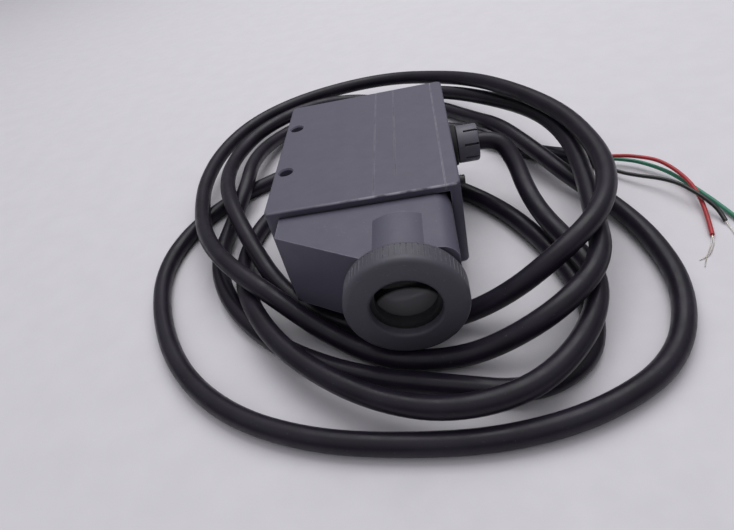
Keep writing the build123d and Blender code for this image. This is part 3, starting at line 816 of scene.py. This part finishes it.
@dataclass
class Cable:
    """The fixed lead: one jacket in loose turns, three insulated wires and their bare ends."""

    radius: float = CABLE_RADIUS
    wire_radius: float = 0.65
    strand_radius: float = 0.13
    length: float = 2.376
    wires: tuple[tuple[str, float], ...] = (("red", 0.0604), ("green", 0.0603), ("black", 0.0508))

    def jacket(self) -> None:
        """Lays the jacket from the gland to its stripped end."""
        cord = routed("cable_jacket", CABLE_ROUTE, self.radius)
        dress(cord, "cable_black")
        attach(cord, Body.HOUSING.value)
        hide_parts(*(f"cable_turn_{turn}" for turn in range(1, 6)))

    def strands(self, colour: str) -> bpy.types.Object:
        """Lays the bare strands that leave one wire's end.

        Args:
            colour: which wire.

        Returns:
            The strands as one mesh.
        """
        root = Vector(WIRE_ROUTES[colour][-1])
        inside = root.lerp(Vector(WIRE_ROUTES[colour][-2]), 0.2)
        made = []
        for number, run in enumerate(BARE_STRANDS[colour]):
            points = [tuple(inside), tuple(root), *run]
            strand = routed(f"strand_{colour}_{number}", points, self.strand_radius)
            strand.data.bevel_resolution = 2
            activate(strand)
            bpy.ops.object.convert(target="MESH")
            made.append(bpy.context.object)
        deselect()
        for strand in made:
            strand.select_set(True)
        bpy.context.view_layer.objects.active = made[0]
        bpy.ops.object.join()
        bundle = settle(bpy.context.object, f"bare_strands_{colour}", 60.0)
        dress(bundle, "tinned_copper")
        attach(bundle, Body.HOUSING.value)
        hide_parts("tinned_ends")
        return bundle

    def wire(self, colour: str) -> None:
        """Lays one insulated wire from the jacket's end, with its strands.

        Args:
            colour: which wire.
        """
        cord = routed(f"insulation_{colour}", WIRE_ROUTES[colour], self.wire_radius)
        cord.data.bevel_resolution = 4
        dress(cord, f"wire_{colour}")
        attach(cord, Body.HOUSING.value)
        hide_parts(f"wire_{colour}")
        self.strands(colour)

    def build(self) -> None:
        """Lays the jacket, then each wire."""
        self.jacket()
        for colour, length in self.wires:
            self.wire(colour)
            log.info("wire %s laid", colour)


# ---- focus ring and lens -----------------------------------------------------------------------


@dataclass
class FocusRing:
    """Grey ring round the lens, with fine grip ribs behind a rounded front edge."""

    radius: float = 16.0
    bore: float = 9.2
    barrel_bore: float = 11.47
    length: float = 7.0
    rear_y: float = -62.0
    edge_round: float = 1.6
    groove_radius: float = 12.9
    grip: tuple[float, float] = (0.7, 5.0)
    ribs: int = 72
    rib_depth: float = 0.1
    rib_inset: float = 0.06

    def outline(self) -> Outline:
        """Draws the ring's section.

        Returns:
            (distance from the rear face, radius) of each corner.
        """
        inner_length = self.length - self.edge_round
        inner_radius = self.radius - self.edge_round
        round_edge = [
            (inner_length + self.edge_round * math.sin(a), inner_radius + self.edge_round * math.cos(a))
            for a in (math.radians(d) for d in range(0, 91, 15))
        ]
        return [
            (0.0, self.radius - 0.35), (0.12, self.radius - 0.1), (0.35, self.radius),
            (self.grip[0], self.radius), (self.grip[1], self.radius), *round_edge,
            (self.length, 10.1), (self.length - 0.06, 9.75),
            (self.length - 0.3, self.bore + 0.15), (self.length - 0.6, self.bore), (4.6, self.bore),
            (4.6, self.barrel_bore), (4.0, self.barrel_bore), (4.0, self.groove_radius),
            (0.4, self.groove_radius), (0.4, self.barrel_bore), (0.0, self.barrel_bore),
        ]

    def build(self) -> None:
        """Turns the ring and cuts its grip ribs."""
        ring = turned("ring", self.outline(), (LENS_X, self.rear_y, 0), Along.LENS, self.ribs * 4)
        pitch = FULL_TURN / self.ribs

        def is_groove(centre: Vector, normal: Vector) -> bool:
            """Accepts one face in four round the outer wall.

            Args:
                centre: the face's centre in millimetres.
                normal: its normal, not used here.

            Returns:
                Whether the face is a groove's.
            """
            depth = self.rear_y - centre.y
            turn = math.atan2(centre.z, centre.x - LENS_X) % pitch
            outside = math.hypot(centre.x - LENS_X, centre.z) > self.radius - 0.05
            return self.grip[0] < depth < self.grip[1] and outside and turn < pitch / 4

        pick_faces(ring, is_groove)
        bpy.ops.mesh.inset(
            thickness=self.rib_inset * MM, depth=-self.rib_depth * MM, use_individual=True
        )
        settle(ring, "ring", 40.0)
        dress(ring, "ring_grey")
        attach(ring, Body.FOCUS.value)
        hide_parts("focus_ring")
        log.info("focus ring, %d ribs", self.ribs)


@dataclass
class Lens:
    """Domed lens behind the ring."""

    back_y: float = -60.45
    apex_y: float = -63.85
    radius: float = 8.6
    dome: float = 30.0
    steps: int = 12
    sides: int = 96

    def build(self) -> None:
        """Turns the lens with a smooth dome."""
        front = self.back_y - self.apex_y
        dome = []
        for number in range(self.steps + 1):
            r = self.radius * (1 - number / self.steps)
            drop = self.dome - math.sqrt(self.dome**2 - r**2)
            dome.append((front - drop, r))
        outline = [(0.0, 0.0), (0.0, self.radius - 0.2), (0.2, self.radius), *dome]
        lens = turned("lens", outline, (LENS_X, self.back_y, 0), Along.LENS, self.sides)
        dress(lens, "lens_glass")
        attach(lens, Body.LENS.value)
        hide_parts("objective_lens")
        log.info("lens, %.1f mm across", 2 * self.radius)


# ---- gland ---------------------------------------------------------------------------------------


@dataclass
class Gland:
    """Cable gland's clamping body, with a spigot in the housing and slots between its fingers."""

    root_x: float = END_X + 2.2
    end_x: float = END_X + 9.5
    radius: float = 6.4
    bore: float = 3.06
    spigot: float = 4.95
    spigot_end: float = -10.9
    slots: int = 8
    slot_start: float = 2.4
    slot_depth: float = 1.0
    slot_inset: float = 0.05
    sides: int = 96

    def build(self) -> None:
        """Turns the clamping body and cuts its finger slots."""
        length = self.end_x - self.root_x
        outline = [
            (0.0, 5.2), (0.0, self.radius - 0.3), (0.3, self.radius),
            (self.slot_start, self.radius),
            (length - 0.9, self.radius), (length - 0.3, self.radius - 0.25), (length, self.radius - 0.8),
            (length, self.bore + 0.8), (length - 0.5, self.bore + 0.1),
            (self.spigot_end, self.bore + 0.1), (self.spigot_end, self.spigot), (-0.6, self.spigot),
        ]
        body = turned("gland", outline, (self.root_x, GLAND_Y, 0), Along.GLAND, self.sides)
        pitch = FULL_TURN / self.slots

        def is_slot(centre: Vector, normal: Vector) -> bool:
            """Accepts narrow strips of the outer wall between the fingers.

            Args:
                centre: the face's centre in millimetres.
                normal: its normal.

            Returns:
                Whether the face is a slot's.
            """
            run = centre.x - self.root_x
            turn = (math.atan2(centre.z, centre.y - GLAND_Y) + pitch / 2 + pitch / 12) % pitch
            outside = math.hypot(centre.y - GLAND_Y, centre.z) > self.radius - 0.7
            along_wall = self.slot_start < run < length and abs(normal.x) < 0.9
            return along_wall and outside and turn < pitch / 6

        pick_faces(body, is_slot)
        bpy.ops.mesh.inset(
            thickness=self.slot_inset * MM, depth=-self.slot_depth * MM, use_individual=False
        )
        settle(body, "gland", 40.0)
        dress(body, "gland_grey")
        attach(body, Body.HOUSING.value)
        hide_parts("gland_body")
        log.info("gland, %d slots", self.slots)


# ---- pieces that keep the frame's own shape -----------------------------------------------------


def dress_frame() -> None:
    """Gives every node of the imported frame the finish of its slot."""
    for entry in frame["record"]["subparts"]:
        dress(frame["nodes"][entry["node"]], entry["material_slot"])


def main() -> None:
    """Builds the camera and the cords first, then each sub-assembly."""
    logging.basicConfig(level=logging.INFO, format="%(name)s: %(message)s")
    Studio().build()
    Cable().build()
    dress_frame()
    FocusRing().build()
    Lens().build()
    Gland().build()


if __name__ == "__main__":
    main()
